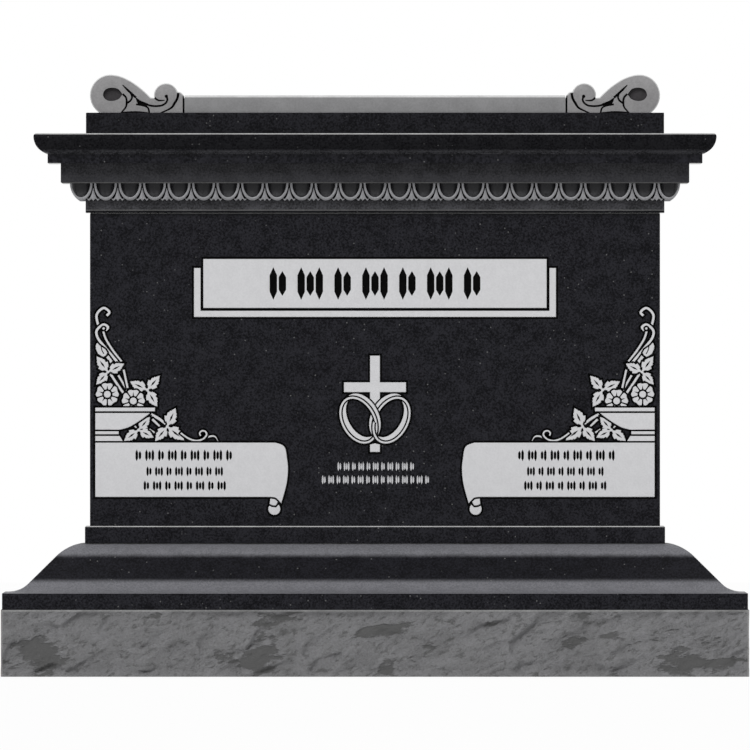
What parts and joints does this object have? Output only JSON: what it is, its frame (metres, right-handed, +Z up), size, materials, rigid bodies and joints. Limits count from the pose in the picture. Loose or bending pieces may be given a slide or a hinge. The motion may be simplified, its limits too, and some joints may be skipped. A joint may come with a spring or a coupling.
{
  "type": "granite family monument",
  "caption": "Upright cemetery monument of stacked stones: rock-pitched base, ogee base, carved die, egg-and-dart cornice and a scrolled crest, for a grave plot.",
  "frame": {"origin": "middle of the underside of the rock-pitched base, on the ground", "axes": "+Z up; +X along the width, to the right as seen from the front; the carved front faces -Y"},
  "size_m": [2.24, 0.83, 1.802],
  "materials": {
    "rock_pitched_granite": "dark grey granite, split faces pitched by hand, sawn beds",
    "moulded_granite": "black granite, polished, with steeled grey bands at the head and foot of the ogee",
    "polished_granite": "black granite, polished, with sandblasted light grey carving in sunk black outlines",
    "cornice_granite": "black granite, polished, with a steeled grey egg-and-dart course",
    "crest_granite": "black granite, polished blocking course under a steeled grey rail and scrolls"
  },
  "bodies": {
    "root": {"rock_base": "rock_pitched_granite", "moulded_base": "moulded_granite", "die": "polished_granite", "cornice": "cornice_granite", "crest": "crest_granite"}
  },
  "joints": []
}
